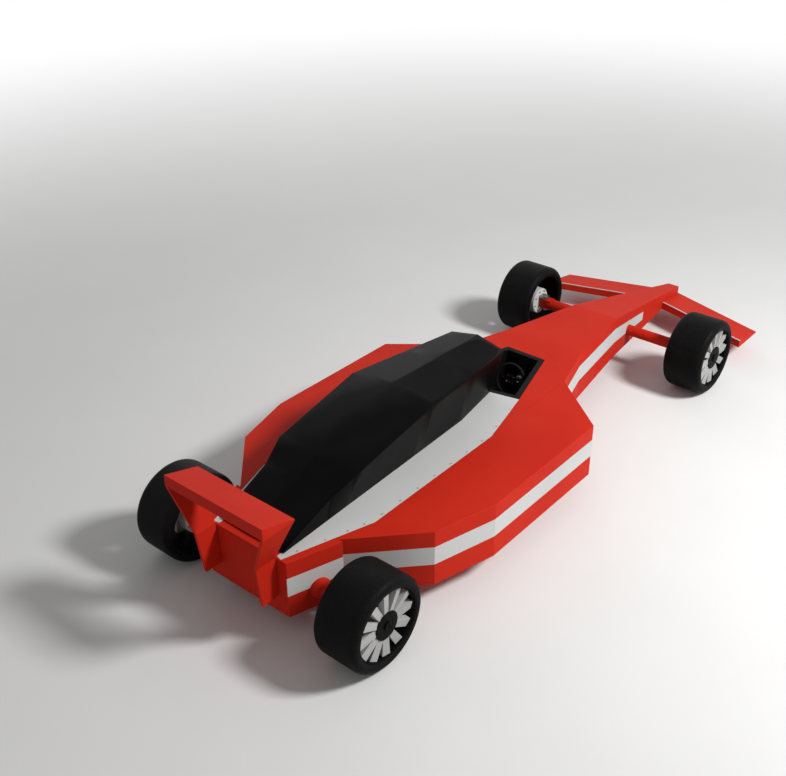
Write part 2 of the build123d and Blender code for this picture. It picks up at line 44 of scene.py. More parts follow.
# ---------------------------------------------------------------- materials
class Graph:
    """Short way to write a node material."""

    def __init__(self, name):
        self.material = bpy.data.materials.new(name)
        self.material.use_nodes = True
        self.tree = self.material.node_tree
        self.tree.nodes.clear()
        self.output = self.tree.nodes.new("ShaderNodeOutputMaterial")
        self.shader = self.add("ShaderNodeBsdfPrincipled")
        self.link(self.shader, "BSDF", self.output, "Surface")
        self.coords = self.add("ShaderNodeTexCoord")

    def add(self, kind, **values):
        node = self.tree.nodes.new(kind)
        for key, value in values.items():
            setattr(node, key, value)
        return node

    def link(self, source, out, target, into):
        self.tree.links.new(source.outputs[out], target.inputs[into])

    def set(self, **values):
        for key, value in values.items():
            self.shader.inputs[key.replace("_", " ")].default_value = value

    def noise(self, scale, detail=4.0, rough=0.5):
        node = self.add("ShaderNodeTexNoise")
        node.inputs["Scale"].default_value = scale
        node.inputs["Detail"].default_value = detail
        node.inputs["Roughness"].default_value = rough
        self.link(self.coords, "Object", node, "Vector")
        return node

    def ramp(self, source, out, stops):
        node = self.add("ShaderNodeValToRGB")
        ramp = node.color_ramp
        ramp.elements[0].position, ramp.elements[0].color = stops[0][0], grey(stops[0][1])
        ramp.elements[1].position, ramp.elements[1].color = stops[-1][0], grey(stops[-1][1])
        for place, value in stops[1:-1]:
            ramp.elements.new(place).color = grey(value)
        self.link(source, out, node, "Fac")
        return node

    def mix(self, a, b, factor=None, out="Color"):
        """Mix of two colours by a mask node."""
        node = self.add("ShaderNodeMix", data_type="RGBA")
        for value, socket in ((a, 6), (b, 7)):
            if isinstance(value, tuple):
                node.inputs[socket].default_value = (*value, 1.0)
            else:
                self.tree.links.new(value.outputs[2 if value.type == "MIX" else 0], node.inputs[socket])
        self.tree.links.new(factor.outputs[out], node.inputs[0])
        return node

    def edge(self, radius, low=0.86, high=0.985):
        """Mask that is white on edges and corners."""
        bevel = self.add("ShaderNodeBevel", samples=6)
        bevel.inputs["Radius"].default_value = radius
        geometry = self.add("ShaderNodeNewGeometry")
        dot = self.add("ShaderNodeVectorMath", operation="DOT_PRODUCT")
        self.tree.links.new(bevel.outputs[0], dot.inputs[0])
        self.link(geometry, "Normal", dot, 1)
        return self.ramp(dot, "Value", [(low, 1.0), (high, 0.0)])

    def times(self, a, b, out_a="Color", out_b="Color"):
        node = self.add("ShaderNodeMath", operation="MULTIPLY")
        self.tree.links.new(a.outputs[out_a], node.inputs[0])
        self.tree.links.new(b.outputs[out_b], node.inputs[1])
        return node

    def inside(self, low, high):
        """Mask that is one inside a box, in the car's frame."""
        axes = self.add("ShaderNodeSeparateXYZ")
        self.link(self.coords, "Object", axes, "Vector")
        mask = None
        for axis, floor_at, top_at in zip("XYZ", low, high):
            for operation, limit in (("GREATER_THAN", floor_at), ("LESS_THAN", top_at)):
                test = self.add("ShaderNodeMath", operation=operation)
                self.link(axes, axis, test, 0)
                test.inputs[1].default_value = limit
                mask = self.times(mask, test, "Value", "Value") if mask else test
        return mask

    def roughness(self, source, low, high):
        """Roughness from low to high, led by a noise node."""
        spread = self.add("ShaderNodeMapRange")
        spread.inputs["To Min"].default_value = low
        spread.inputs["To Max"].default_value = high
        self.link(source, "Fac", spread, "Value")
        self.link(spread, "Result", self.shader, "Roughness")

    def bump(self, source, out, strength, distance, normal=None):
        node = self.add("ShaderNodeBump")
        node.inputs["Strength"].default_value = strength
        node.inputs["Distance"].default_value = distance
        self.link(source, out, node, "Height")
        if normal:
            self.link(normal, "Normal", node, "Normal")
        self.link(node, "Normal", self.shader, "Normal")
        return node


def grey(value):
    return (value, value, value, 1.0)


def paint(name, colour, deep, chip, rough=0.52, specular=0.05, inner=None):
    """Sprayed paint: slight mottle, orange peel, thin chips along the edges."""
    g = Graph(name)
    tone = g.ramp(g.noise(2.2, 3.0), "Fac", [(0.35, 0.0), (0.65, 1.0)])
    body = g.mix(colour, deep, tone)
    worn = g.times(g.edge(0.0022), g.ramp(g.noise(34.0, 6.0, 0.65), "Fac", [(0.56, 0.0), (0.64, 1.0)]))
    skin = g.mix(body, chip, worn, "Value")
    if inner:
        skin = g.mix(skin, (0.006, 0.006, 0.006), g.inside(*inner), "Value")
    g.link(skin, 2, g.shader, "Base Color")
    g.roughness(g.noise(5.0, 5.0, 0.6), rough - 0.05, rough + 0.07)
    g.bump(g.noise(420.0, 2.0), "Fac", 0.10, 0.0004)
    g.set(Specular_IOR_Level=specular)
    return g.material


def black_gloss():
    """Painted engine cover: satin black with paler worn edges."""
    g = Graph("engine_cover_black")
    body = g.mix((0.0022, 0.0022, 0.0024), (0.0036, 0.0035, 0.0037),
                 g.ramp(g.noise(3.0, 4.0), "Fac", [(0.4, 0.0), (0.62, 1.0)]))
    worn = g.times(g.edge(0.003), g.ramp(g.noise(40.0, 6.0, 0.65), "Fac", [(0.5, 0.0), (0.6, 1.0)]))
    skin = g.mix(body, (0.02, 0.02, 0.021), worn, "Value")
    g.link(skin, 2, g.shader, "Base Color")
    g.roughness(g.noise(4.0, 6.0, 0.6), 0.30, 0.42)
    g.bump(g.noise(380.0, 2.0), "Fac", 0.12, 0.0004)
    g.set(Specular_IOR_Level=0.025)
    return g.material


def black_matte():
    """Cockpit tub: fine woven checks, matte."""
    g = Graph("cockpit_black")
    weave = g.add("ShaderNodeTexChecker")
    weave.inputs["Scale"].default_value = 260.0
    g.link(g.coords, "Object", weave, "Vector")
    weave.inputs["Color1"].default_value = (0.003, 0.003, 0.003, 1)
    weave.inputs["Color2"].default_value = (0.006, 0.006, 0.0065, 1)
    worn = g.times(g.edge(0.003), g.ramp(g.noise(60.0, 5.0), "Fac", [(0.5, 0.0), (0.6, 1.0)]))
    skin = g.mix(weave, (0.02, 0.02, 0.02), worn, "Value")
    g.link(skin, 2, g.shader, "Base Color")
    g.bump(weave, "Fac", 0.15, 0.0004)
    g.set(Roughness=0.6, Specular_IOR_Level=0.06)
    return g.material


def rubber():
    """Slick tyre rubber: scuffed and a little dusty."""
    g = Graph("tyre_rubber")
    scuff = g.ramp(g.noise(90.0, 6.0, 0.7), "Fac", [(0.42, 0.0), (0.68, 1.0)])
    skin = g.mix((0.0030, 0.0028, 0.0029), (0.0068, 0.0064, 0.0065), scuff)
    dust = g.ramp(g.noise(9.0, 5.0, 0.7), "Fac", [(0.5, 0.0), (0.8, 0.35)])
    skin = g.mix(skin, (0.012, 0.011, 0.0105), dust)
    g.link(skin, 2, g.shader, "Base Color")
    g.roughness(g.noise(30.0, 5.0), 0.46, 0.62)
    fine = g.bump(g.noise(700.0, 3.0), "Fac", 0.25, 0.0005)
    g.bump(g.noise(60.0, 4.0), "Fac", 0.18, 0.0008, fine)
    g.set(Specular_IOR_Level=0.05)
    return g.material


def metal(name, colour, rough, metallic=1.0, scale=120.0, edge_highlight=None):
    """Fine-grained bare or coated metal, also leather when metallic is zero."""
    g = Graph(name)
    grain = g.noise(scale, 5.0, 0.6)
    body = g.mix(colour, tuple(c * 0.78 for c in colour),
                 g.ramp(grain, "Fac", [(0.35, 0.0), (0.7, 1.0)]))
    # Paler edges all round, with no wear mask: a painted highlight along the edges
    if edge_highlight:
        body = g.mix(body, edge_highlight, g.edge(0.0015))
    g.link(body, 2, g.shader, "Base Color")
    g.roughness(grain, rough - 0.06, rough + 0.1)
    g.bump(grain, "Fac", 0.12, 0.0003)
    g.set(Metallic=metallic, Specular_IOR_Level=0.5 if metallic else 0.04)
    return g.material


def fabric(name, dark, light, scale=900.0):
    """Woven cloth or webbing."""
    g = Graph(name)
    warp = g.add("ShaderNodeTexWave", wave_type="BANDS", bands_direction="X")
    weft = g.add("ShaderNodeTexWave", wave_type="BANDS", bands_direction="Y")
    for wave in (warp, weft):
        wave.inputs["Scale"].default_value = scale / 6.0
        wave.inputs["Distortion"].default_value = 0.6
        g.link(g.coords, "Object", wave, "Vector")
    weave = g.times(warp, weft)
    tone = g.mix(dark, light, weave, "Value")
    fade = g.ramp(g.noise(14.0, 4.0), "Fac", [(0.35, 0.0), (0.75, 0.5)])
    skin = g.mix(tone, tuple(0.5 * (d + l) for d, l in zip(dark, light)), fade)
    g.link(skin, 2, g.shader, "Base Color")
    g.bump(weave, "Value", 0.5, 0.0006)
    g.set(Roughness=0.92, Specular_IOR_Level=0.15, Sheen_Weight=0.12, Sheen_Roughness=0.5)
    return g.material


RED_TONES = ((0.56, 0.024, 0.010), (0.52, 0.020, 0.009), (0.33, 0.06, 0.045))
FOOTWELL = ((0.18, -0.13, 0.20), (1.17, 0.13, 0.4575))
RED = paint("red_paint", *RED_TONES)
RED_TUB = paint("red_paint_black_inside", *RED_TONES, inner=FOOTWELL)
WHITE = paint("white_paint", (0.60, 0.60, 0.59), (0.56, 0.56, 0.55), (0.34, 0.33, 0.31))
COVER = black_gloss()
TUB = black_matte()
RUBBER = rubber()
CAP_RED = paint("cap_red", (0.10, 0.006, 0.004), (0.09, 0.005, 0.003), (0.06, 0.01, 0.01))
# Black rim, disc and nuts, with a painted highlight along their edges
RIM = metal("rim_black", (0.004, 0.004, 0.0044), 0.5, metallic=0.0,
            edge_highlight=(0.012, 0.012, 0.012))
# Wheel white, darker than the body's white paint: shade on the petals and hub is painted into it
PETAL_WHITE_SHADED = paint("wheel_white", (0.42, 0.42, 0.41), (0.38, 0.38, 0.37), (0.30, 0.29, 0.27))
STEEL = metal("bare_steel", (0.42, 0.42, 0.43), 0.34)
DARK_STEEL = metal("dark_steel", (0.05, 0.05, 0.055), 0.42)
ENGINE = metal("cast_alloy", (0.30, 0.30, 0.29), 0.55, scale=260.0)
SEAT_CLOTH = fabric("seat_cloth", (0.010, 0.010, 0.012), (0.035, 0.035, 0.04))
WEBBING = fabric("harness_webbing", (0.012, 0.012, 0.013), (0.045, 0.045, 0.048), 1400.0)
LEATHER = metal("grip_leather", (0.014, 0.014, 0.014), 0.62, metallic=0.0, scale=500.0)

SLOT_MATERIAL = {
    "red_paint": RED, "white_paint": WHITE, "black_gloss": COVER, "black_matte": TUB,
    "tyre": RUBBER, "rim_black": RIM, "spoke_white": PETAL_WHITE_SHADED, "steel": STEEL,
    "engine": ENGINE, "seat_fabric": SEAT_CLOTH,
}


# ---------------------------------------------------------------- CAD nodes
for name, node in NODES.items():
    for held in node.material_slots:
        found = held.material.name.split(".")[0] if held.material else ""
        if found in SLOT_MATERIAL:
            held.material = SLOT_MATERIAL[found]
for name in ("survival_cell", "nose_cone"):
    NODES[name].material_slots[0].material = RED_TUB


def soften(name, width, segments=2, angle=20.0):
    """Rounds the edges of a kept CAD node."""
    node = NODES[name]
    weld = node.modifiers.new("weld", "WELD")
    weld.merge_threshold = 1e-5
    bevel = node.modifiers.new("edge", "BEVEL")
    bevel.width = width * MM
    bevel.segments = segments
    bevel.limit_method = "ANGLE"
    bevel.angle_limit = math.radians(angle)
    bevel.harden_normals = True
    bevel.use_clamp_overlap = True


EDGE_WIDTHS = {
    "nose_cone": 3.0, "survival_cell": 2.5, "sidepod_left": 3.0, "sidepod_right": 3.0,
    "gearbox_case": 3.0, "engine_cover": 5.0, "front_wing": 2.0, "rear_wing": 3.0,
    "rear_endplates": 3.0, "undertray": 3.0, "cockpit_tub": 5.0,
}
for name, width in EDGE_WIDTHS.items():
    soften(name, width)


# ---------------------------------------------------------------- mesh helpers
def make(name, verts, faces, material, body, smooth, matrix=None, bevel=None, replaces=()):
    """New piece from vertices in millimetres, smooth below the given angle in degrees."""
    mesh = bpy.data.meshes.new(name)
    mesh.from_pydata([Vector(v) * MM for v in verts], [], faces)
    if matrix is not None:
        mesh.transform(matrix)
    bm = bmesh.new()
    bm.from_mesh(mesh)
    bmesh.ops.recalc_face_normals(bm, faces=bm.faces)
    bm.to_mesh(mesh)
    bm.free()
    mesh.materials.append(material)
    piece = bpy.data.objects.new(name, mesh)
    SCENE.collection.objects.link(piece)
    mesh.shade_smooth()
    mesh.set_sharp_from_angle(angle=math.radians(smooth))
    if bevel:
        width, segments = bevel
        mod = piece.modifiers.new("edge", "BEVEL")
        mod.width, mod.segments = width * MM, segments
        mod.limit_method, mod.angle_limit = "ANGLE", math.radians(28.0)
        mod.harden_normals = True
    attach(piece, body)
    for node in replaces:
        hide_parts(node)
    return piece


def arc(cx, cy, r, start, end, steps):
    """Points of an arc, degrees."""
    angles = [math.radians(start + (end - start) * i / steps) for i in range(steps + 1)]
    return [(cx + r * math.cos(a), cy + r * math.sin(a)) for a in angles]


def lathe(profile, count, closed=True):
    """Vertices and faces of a profile of (radius, height) turned round Z."""
    n = len(profile)
    verts = [(r * math.cos(2 * math.pi * k / count), r * math.sin(2 * math.pi * k / count), z)
             for k in range(count) for r, z in profile]
    faces = []
    for k in range(count):
        a, b = k * n, ((k + 1) % count) * n
        for i in range(n if closed else n - 1):
            j = (i + 1) % n
            faces.append((a + i, b + i, b + j, a + j))
    return verts, faces


def wheel_matrix(station, track, side):
    """Wheel frame in metres: local Z points outward along the axle."""
    x, z = Vector((1, 0, 0)), Vector((0, side, 0))
    y = z.cross(x)
    turn = Matrix((x, y, z)).transposed().to_4x4()
    return Matrix.Translation(Vector((station, side * track, TYRE_R)) * MM) @ turn


# ---------------------------------------------------------------- wheels
TYRE_R, TYRE_HALF, SHOULDER = 275.0, 142.5, 40.0
RIM_R, RIM_INNER, RIM_LIP_R, LIP = 210.0, 204.0, 3.0, 15.0
FRONT_X, FRONT_TRACK, REAR_X, REAR_TRACK = 1457.0, 725.0, -2143.0, 690.0
WHEELS = [("front_right", FRONT_X, FRONT_TRACK, -1), ("front_left", FRONT_X, FRONT_TRACK, 1),
          ("rear_right", REAR_X, REAR_TRACK, -1), ("rear_left", REAR_X, REAR_TRACK, 1)]
HUB_BACK, HUB_FACE, HUB_R, AXLE_BORE_R = 53.0, 122.5, 80.0, 22.1
DISC_R, DISC_FACE, DISC_EDGE = 83.0, 127.5, 2.5

# Tread, shoulder, a fine raised ring on the sidewall and the bead, mirrored across the middle
half = [(TYRE_R, 0.0), (TYRE_R - 0.2, 60.0)]
half += arc(TYRE_R - SHOULDER - 0.4, TYRE_HALF - SHOULDER, SHOULDER, 0.0, 78.0, 12)
half += [(240.0, TYRE_HALF - 0.9), (238.6, TYRE_HALF), (234.0, TYRE_HALF), (232.8, TYRE_HALF - 0.8)]
half += arc(RIM_R + 0.4 + LIP, TYRE_HALF - LIP - 0.6, LIP, 90.0, 180.0, 8)
tyre_profile = [(r, -z) for r, z in reversed(half[1:])] + half
tyre_verts, tyre_faces = lathe(tyre_profile, 128)

RIM_EDGE = TYRE_HALF - LIP - 2.0
rim_lip = arc(RIM_R - RIM_LIP_R, RIM_EDGE, RIM_LIP_R, 0.0, 180.0, 6)[1:]
rim_profile = (
    [(RIM_R, -RIM_EDGE), (RIM_R, RIM_EDGE)] + rim_lip
    + [(RIM_INNER + 1.0, RIM_EDGE - 6.0), (RIM_INNER + 0.2, RIM_EDGE - 34.0), (RIM_INNER, 0.0),
       (RIM_INNER + 0.2, 34.0 - RIM_EDGE), (RIM_INNER + 1.0, 6.0 - RIM_EDGE)]
    + [(r, -z) for r, z in reversed(rim_lip)]
)
rim_verts, rim_faces = lathe(rim_profile, 96)

PETALS, PETAL_IN, PETAL_OUT = 12, 70.0, 203.0
PETAL_ROOT, PETAL_TIP, PETAL_THICK, PETAL_TWIST = 38.0, 51.0, 34.0, 11.0
PETAL_Z = 104.0


def petal_mesh():
    """Ring of twisted blades whose tips follow the rim's round."""
    verts, faces, steps = [], [], 6
    twist = math.radians(PETAL_TWIST)
    for k in range(PETALS):
        turn = 2 * math.pi * k / PETALS
        base = len(verts)
        for i in range(steps + 1):
            t = i / steps
            width = PETAL_ROOT + (PETAL_TIP - PETAL_ROOT) * t
            for across, deep in ((-0.5, -0.5), (0.5, -0.5), (0.5, 0.5), (-0.5, 0.5)):
                a, d = across * width, deep * PETAL_THICK
                side = a * math.cos(twist) - d * math.sin(twist)
                lift = a * math.sin(twist) + d * math.cos(twist)
                reach = PETAL_IN + (PETAL_OUT - PETAL_IN) * t
                out = math.sqrt(max(reach * reach - side * side, 1.0)) if t > 0.8 else reach
                verts.append((out * math.cos(turn) - side * math.sin(turn),
                              out * math.sin(turn) + side * math.cos(turn), PETAL_Z + lift))
        for i in range(steps):
            for j in range(4):
                a, b = base + 4 * i + j, base + 4 * i + (j + 1) % 4
                faces.append((a, b, b + 4, a + 4))
        faces.append(tuple(base + j for j in range(4)))
        faces.append(tuple(base + 4 * steps + j for j in (3, 2, 1, 0)))
    return verts, faces


petal_verts, petal_faces = petal_mesh()
hub_profile = [(AXLE_BORE_R, HUB_BACK), (HUB_R - 10.0, HUB_BACK), (HUB_R, HUB_BACK + 7.0),
               (HUB_R, HUB_FACE), (AXLE_BORE_R, HUB_FACE)]
hub_verts, hub_faces = lathe(hub_profile, 72)
disc_profile = ([(0.01, HUB_FACE), (DISC_R, HUB_FACE)]
                + arc(DISC_R - DISC_EDGE, DISC_FACE - DISC_EDGE, DISC_EDGE, 0.0, 90.0, 4)
                + [(46.0, DISC_FACE), (44.5, DISC_FACE - 1.5), (0.01, DISC_FACE - 1.5)])
disc_verts, disc_faces = lathe(disc_profile, 72, closed=False)

for name, station, track, side in WHEELS:
    at, body = wheel_matrix(station, track, side), f"wheel_{name}"
    make(f"slick_tyre_{name}", tyre_verts, tyre_faces, RUBBER, body, 35.0, at,
         replaces=(f"tyre_{name}",))
    make(f"rim_barrel_{name}", rim_verts, rim_faces, RIM, body, 35.0, at,
         replaces=(f"rim_{name}",))
    make(f"petals_{name}", petal_verts, petal_faces, PETAL_WHITE_SHADED, body, 30.0, at,
         bevel=(1.4, 2), replaces=(f"spokes_{name}",))
    make(f"petal_hub_{name}", hub_verts, hub_faces, PETAL_WHITE_SHADED, body, 30.0, at)
    make(f"disc_face_{name}", disc_verts, disc_faces, RIM, body, 30.0, at,
         replaces=(f"hub_disc_{name}",))


# ---------------------------------------------------------------- nuts, valves and screws
def screws(name, places, normal, radius, height, material, body, sides=18, socket=0.45):
    """One mesh of screw heads, each standing on a point in millimetres and facing normal."""
    profile = [(0.01, height * 0.45), (radius * socket, height * 0.45),
               (radius * (socket + 0.08), height), (radius * 0.8, height),
               (radius, height * 0.55), (radius, -0.4), (0.01, -0.4)]
    head, skin = lathe(profile, sides, closed=False)
    turn = Vector(normal).to_track_quat("Z", "Y").to_matrix()
    verts, faces = [], []
    for place in places:
        faces += [tuple(len(verts) + i for i in face) for face in skin]
        verts += [turn @ Vector(v) + Vector(place) for v in head]
    make(name, verts, faces, material, body, 30.0)


def along(a, b, count, ends=True):
    """Evenly spaced points from a to b."""
    steps = [i / (count - 1) if ends else (i + 0.5) / count for i in range(count)]
    return [tuple(p + (q - p) * t for p, q in zip(a, b)) for t in steps]


def hexagon(radius, low, high, edge=1.2):
    """Hexagonal nut about Z with broken corners."""
    rows = [(radius, low), (radius, high - edge), (radius - edge, high), (radius * 0.5, high),
            (radius * 0.46, high - 2 * edge), (0.01, high - 2 * edge)]
    return lathe(rows, 6, closed=False)


# Wheel nuts, valves and the screws round each drum
VALVE_AT, DRUM_INSET, DRUM_RING = 190.0, 42.0, 82.0
PIN_HALF, PIN_NUT_TOP, PIN_NUT_FOOT = 582.5, 330.0, 220.0
nut_verts, nut_faces = hexagon(26.0, 124.0, 136.0)
valve_verts, valve_faces = lathe([(0.01, 112.0), (3.0, 112.0), (3.0, 90.0), (4.5, 88.0), (4.5, 60.0)],
                                 16, closed=False)
valve_verts = [(x + VALVE_AT, y, z) for x, y, z in valve_verts]
for name, station, track, side in WHEELS:
    at = wheel_matrix(station, track, side)
    make(f"wheel_nut_{name}", nut_verts, nut_faces, RIM, f"wheel_{name}", 20.0, at)
    make(f"valve_{name}", valve_verts, valve_faces, DARK_STEEL, f"wheel_{name}", 30.0, at)
    holder = f"steer_{name}" if name.startswith("front") else "chassis"
    inner = side * (track - TYRE_HALF + DRUM_INSET)
    angles = [math.radians(a) for a in range(15, 375, 45)]
    ring = [(station + DRUM_RING * math.cos(a), inner, TYRE_R + DRUM_RING * math.sin(a)) for a in angles]
    screws(f"drum_screws_{name}", ring, (0, -side, 0), 6.0, 4.0, DARK_STEEL, holder)
for name, station, track, side in WHEELS[:2]:
    for end, level, up_sign in (("top", PIN_NUT_TOP, 1), ("foot", PIN_NUT_FOOT, -1)):
        verts, faces = hexagon(17.0, 0.0, 9.0)
        verts = [(x + station, y + side * PIN_HALF, level + up_sign * z) for x, y, z in verts]
        make(f"kingpin_nut_{end}_{name}", verts, faces, STEEL, f"steer_{name}", 20.0)

# Screws of the white deck panels, the case's rear face, the wing's end plates and the nose joint
DECK_Z, CASE_REAR_X, CASE_TOP, CASE_FOOT, CASE_SIDE, PLATE_Y = 512.0, -2320.0, 492.0, 172.0, 280.0, 358.0
for hand, side in (("left", 1), ("right", -1)):
    edge_line = [(-270.0, 296.0), (-697.0, 402.0), (-1772.0, 407.0), (-1972.0, 344.0), (-2290.0, 247.0)]
    spots = []
    for (ax, ay), (bx, by) in zip(edge_line, edge_line[1:]):
        steps = max(2, int(math.dist((ax, ay), (bx, by)) / 150.0))
        spots += along((ax, side * ay, DECK_Z), (bx, side * by, DECK_Z), steps, ends=False)
    screws(f"panel_screws_{hand}", spots, (0, 0, 1), 5.5, 1.4, STEEL, "chassis")
    plate = along((-2495.0, side * PLATE_Y, 830.0), (-2330.0, side * PLATE_Y, 815.0), 4)
    screws(f"wing_screws_{hand}", plate, (0, side, 0), 5.0, 1.2, RED, "chassis")
rear = []
for (ay, az), (by, bz), count in (
        ((CASE_SIDE, CASE_FOOT), (-CASE_SIDE, CASE_FOOT), 9),
        ((CASE_SIDE, CASE_TOP), (250.0, CASE_TOP), 2), ((-CASE_SIDE, CASE_TOP), (-250.0, CASE_TOP), 2),
        ((190.0, CASE_TOP), (-190.0, CASE_TOP), 6),
        ((CASE_SIDE, 250.0), (CASE_SIDE, 410.0), 3), ((-CASE_SIDE, 250.0), (-CASE_SIDE, 410.0), 3)):
    rear += along((CASE_REAR_X, ay, az), (CASE_REAR_X, by, bz), count)
screws("case_screws", rear, (-1, 0, 0), 6.0, 2.4, RED, "chassis")
nose_joint = along((405.0, -300.0, DECK_Z), (405.0, 300.0, DECK_Z), 9)
screws("nose_joint_screws", nose_joint, (0, 0, 1), 5.0, 1.2, RED, "chassis")

# ---------------------------------------------------------------- steering wheel
GRIP_RING, GRIP_R, RING_STEPS, TUBE_STEPS = 105.0, 9.4, 72, 16
tilt = math.radians(20.0)
axle = Vector((-math.cos(tilt), 0.0, math.sin(tilt)))
across = Vector((0, 1, 0))
steer_at = (Matrix.Translation(Vector((118.0, 0.0, 385.0)) * MM)
            @ Matrix((across, axle.cross(across), axle)).transposed().to_4x4())
verts, faces = [], []
for i in range(RING_STEPS):
    a = 2 * math.pi * i / RING_STEPS
    row, after = i * TUBE_STEPS, ((i + 1) % RING_STEPS) * TUBE_STEPS
    swell = GRIP_R + 1.4 * abs(math.cos(a)) ** 3
    for j in range(TUBE_STEPS):
        b = 2 * math.pi * j / TUBE_STEPS
        r = GRIP_RING + swell * math.cos(b)
        beside = (j + 1) % TUBE_STEPS
        verts.append((r * math.cos(a), r * math.sin(a), swell * math.sin(b)))
        faces.append((row + j, after + j, after + beside, row + beside))
make("steering_grip", verts, faces, LEATHER, "steering_wheel", 60.0, steer_at,
     replaces=("steering_wheel",))
plan = [(-97, -15), (-52, -17), (-34, -32), (34, -32), (52, -17), (97, -15),
        (97, 15), (52, 17), (34, 34), (-34, 34), (-52, 17), (-97, 15)]
verts = [(x, y, z) for z in (-5.0, 5.0) for x, y in plan]
count = len(plan)
faces = [tuple(range(count)), tuple(range(count, 2 * count))]
faces += [(i, (i + 1) % count, (i + 1) % count + count, i + count) for i in range(count)]
make("steering_plate", verts, faces, TUB, "steering_wheel", 25.0, steer_at, bevel=(1.5, 2))
for label, spots, material, slot in (
        ("grey", [(-62, 0), (22, 20)], STEEL, "steel"),
        ("red", [(62, 0), (-22, 20)], CAP_RED, "red_paint"),
        ("dark", [(-22, -20), (22, -20), (0, 20)], DARK_STEEL, "steel")):
    verts, faces = [], []
    cap, skin = lathe([(0.01, 9.5), (4.5, 9.5), (6.0, 8.5), (6.5, 5.0)], 24, closed=False)
    for x, y in spots:
        faces += [tuple(len(verts) + k for k in face) for face in skin]
        verts += [(v[0] + x, v[1] + y, v[2]) for v in cap]
    make(f"steering_caps_{label}", verts, faces, material, "steering_wheel", 40.0, steer_at)


# ---------------------------------------------------------------- seat, headrest and harness
PAD_CAP, SEWN_DEPTH, SEWN_WIDTH = 6.0, 5.0, 6.0


def cushion(name, side_view, half_width, channels):
    """Padded form from its side view, blown up as cloth, with sewn channels along it."""
    n = len(side_view)
    verts = [(x, y, z) for y in (-half_width, half_width) for x, z in side_view]
    faces = [tuple(range(n)), tuple(range(n, 2 * n))]
    faces += [(i, (i + 1) % n, (i + 1) % n + n, i + n) for i in range(n)]
    pad = make(name, verts, faces, SEAT_CLOTH, "chassis", 60.0)
    remesh = pad.modifiers.new("remesh", "REMESH")
    remesh.mode, remesh.voxel_size = "VOXEL", 0.006
    start = bpy.data.meshes.new_from_object(pad.evaluated_get(bpy.context.evaluated_depsgraph_get()))
    pad.modifiers.clear()
    pad.data = start
    rest = [v.co.copy() for v in start.vertices]
    cloth = pad.modifiers.new("cloth", "CLOTH")
    cloth.settings.use_pressure = True
    cloth.settings.uniform_pressure_force = 4.0
    cloth.settings.effector_weights.gravity = 0.0
    for step in range(1, 21):
        SCENE.frame_set(step)
    blown = bpy.data.meshes.new_from_object(pad.evaluated_get(bpy.context.evaluated_depsgraph_get()))
    pad.modifiers.clear()
    SCENE.frame_set(1)
    pad.data = blown
    middle = sum(rest, Vector()) / len(rest)
    for vert, home in zip(pad.data.vertices, rest):
        move = vert.co - home
        if move.length > PAD_CAP * MM:
            vert.co = home + move.normalized() * PAD_CAP * MM
        for line in channels:
            depth = SEWN_DEPTH * MM * math.exp(-((vert.co.y / MM - line) / SEWN_WIDTH) ** 2)
            vert.co += (middle - home).normalized() * depth
    pad.data.materials.clear()
    pad.data.materials.append(SEAT_CLOTH)
    pad.data.shade_smooth()
    pad.modifiers.new("fine", "SUBSURF").levels = 1
    return pad


SEAT_HALF, HEADREST_HALF = 140.0, 84.0
squab = cushion("seat_squab", [(34, 257), (-122, 257), (-128, 284), (34, 307)],
                SEAT_HALF, (-84, -42, 0, 42, 84))
back = cushion("seat_back", [(-216, 258), (-216, 432), (-200, 432), (-143, 296), (-136, 258)],
               SEAT_HALF, (-70, 0, 70))
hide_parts("seat")
cushion("headrest", [(-284, 556), (-284, 670), (-266, 666), (-259, 613), (-266, 560)],
        HEADREST_HALF, ())

# Harness over the cushions
trees = [BVHTree.FromObject(pad, bpy.context.evaluated_depsgraph_get()) for pad in (squab, back)]


def lay(point, way):
    """Nearest cushion surface seen from a point along way, in metres."""
    far = Vector(point) * MM - Vector(way).normalized() * 0.15
    hits = [tree.ray_cast(far, Vector(way).normalized(), 0.4) for tree in trees]
    hits = [hit for hit in hits if hit[0] is not None]
    return min(hits, key=lambda hit: hit[3])[0] if hits else Vector(point) * MM


def strap(name, points, way, half_width, thick=2.4, steps=26):
    """Flat webbing laid on the cushions along a line of points in millimetres."""
    lift = -Vector(way).normalized()
    line = []
    for k in range(steps + 1):
        at = k / steps * (len(points) - 1)
        i = min(int(at), len(points) - 2)
        line.append(lay(Vector(points[i]).lerp(Vector(points[i + 1]), at - i), way) / MM + lift * 1.4)
    for _ in range(3):
        eased = [(a + 2 * b + c) / 4 + lift * 0.2 for a, b, c in zip(line, line[1:], line[2:])]
        line = [line[0]] + eased + [line[-1]]
    verts, faces = [], []
    for k, point in enumerate(line):
        ahead = (line[min(k + 1, steps)] - line[max(k - 1, 0)]).normalized()
        side = ahead.cross(lift).normalized()
        out = side.cross(ahead).normalized()
        for sideways, outward in ((-1, 0), (1, 0), (1, 1), (-1, 1)):
            verts.append(point + side * half_width * sideways + out * thick * outward)
    for k in range(steps):
        for j in range(4):
            a, b = 4 * k + j, 4 * k + (j + 1) % 4
            faces.append((a, b, b + 4, a + 4))
    faces += [(0, 1, 2, 3), (4 * steps + 3, 4 * steps + 2, 4 * steps + 1, 4 * steps)]
    make(name, verts, faces, WEBBING, "chassis", 40.0)


